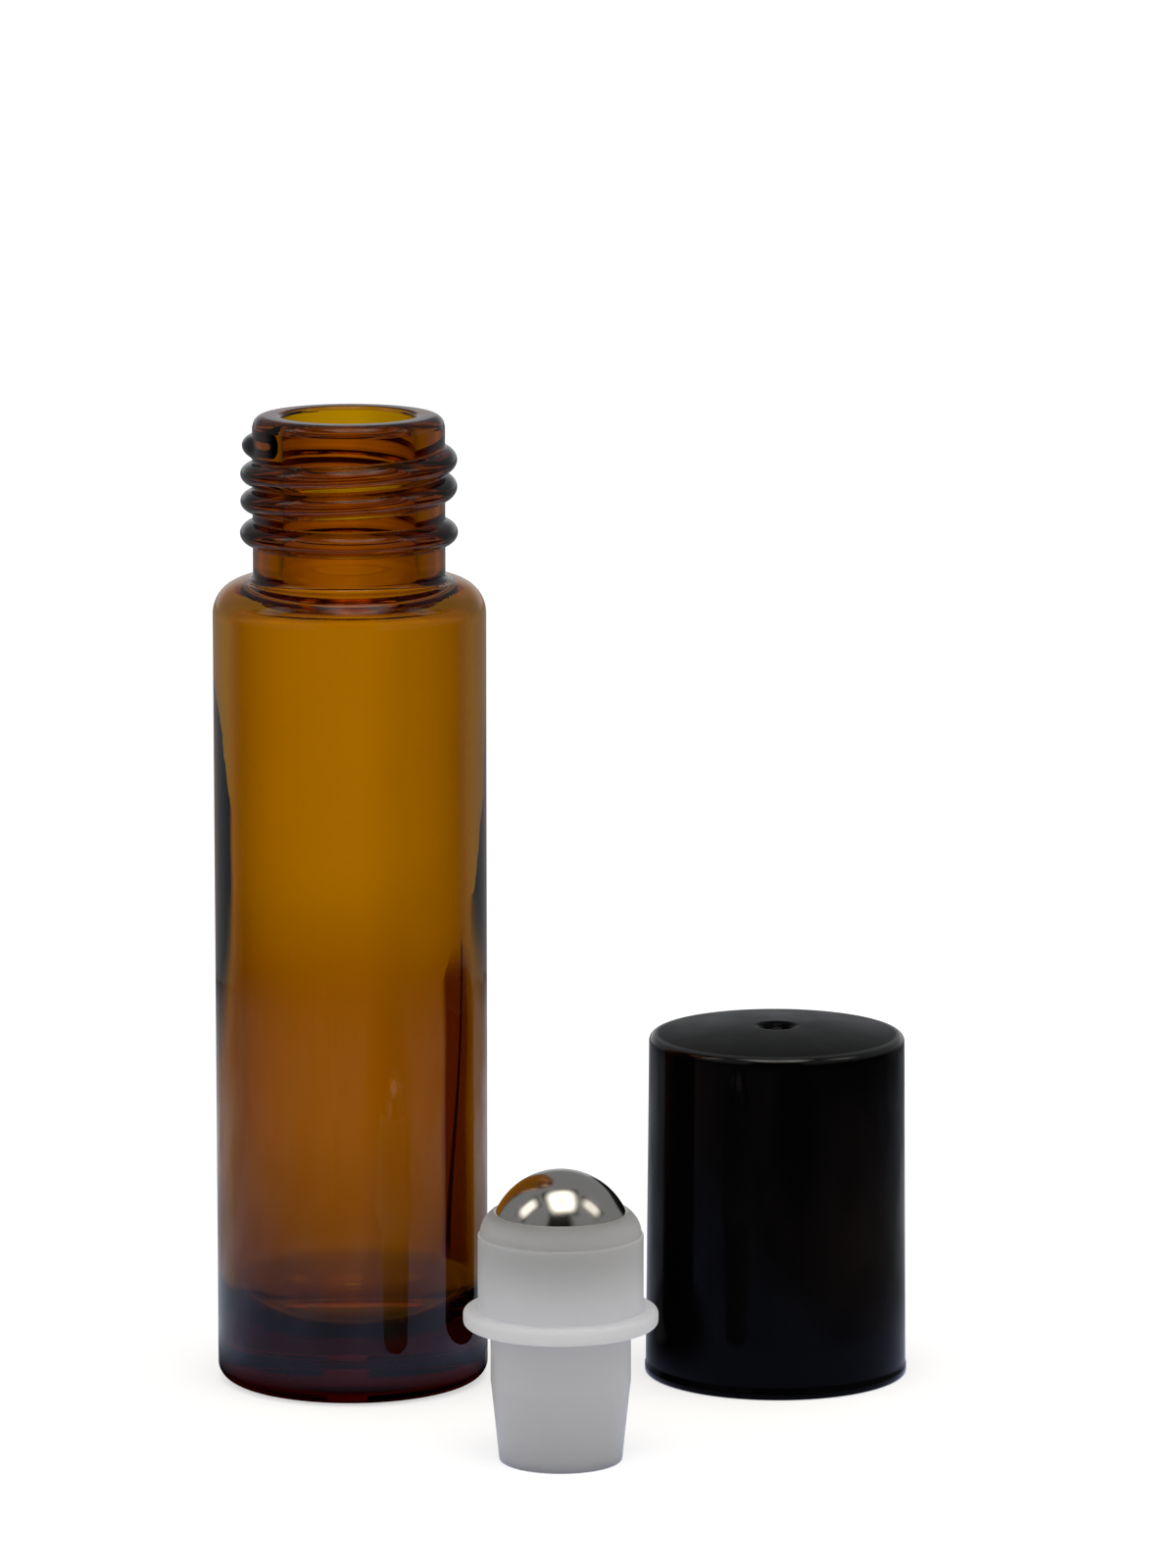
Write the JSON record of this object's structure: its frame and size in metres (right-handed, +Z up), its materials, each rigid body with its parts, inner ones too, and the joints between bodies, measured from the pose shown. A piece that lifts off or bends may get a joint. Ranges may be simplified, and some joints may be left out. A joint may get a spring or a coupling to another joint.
{
  "type": "roll-on bottle",
  "caption": "Small amber glass roll-on bottle with its steel-ball roller fitment and black screw cap standing beside it.",
  "frame": {"origin": "centre of the bottle's foot, on the plane of the ring that it stands on", "axes": "+Z up along the bottle's axis out of its mouth, +X towards the cap, -Y towards the fitment"},
  "size_m": [0.0511, 0.043, 0.0718],
  "materials": {
    "amber_glass": "clear, moulded",
    "natural_plastic": "translucent, satin",
    "polished_steel": "polished",
    "black_plastic": "glossy sides, satin top"
  },
  "bodies": {
    "bottle": {"bottle": "amber_glass"},
    "roller_housing": {"roller_housing": "natural_plastic"},
    "ball": {"ball": "polished_steel"},
    "cap": {"cap": "black_plastic"}
  },
  "joints": [
    {"name": "fitment_lift", "type": "slide", "parent": "bottle", "child": "roller_housing", "axis": [0, 0, 1], "range_m": [0, 0.075]},
    {"name": "ball_roll", "type": "hinge", "parent": "roller_housing", "child": "ball", "pos_m": [0.0155, -0.0248, 0.01595], "axis": [1, 0, 0], "continuous": true},
    {"name": "cap_lift", "type": "slide", "parent": "bottle", "child": "cap", "axis": [0, 0, 1], "range_m": [0, 0.075]}
  ]
}
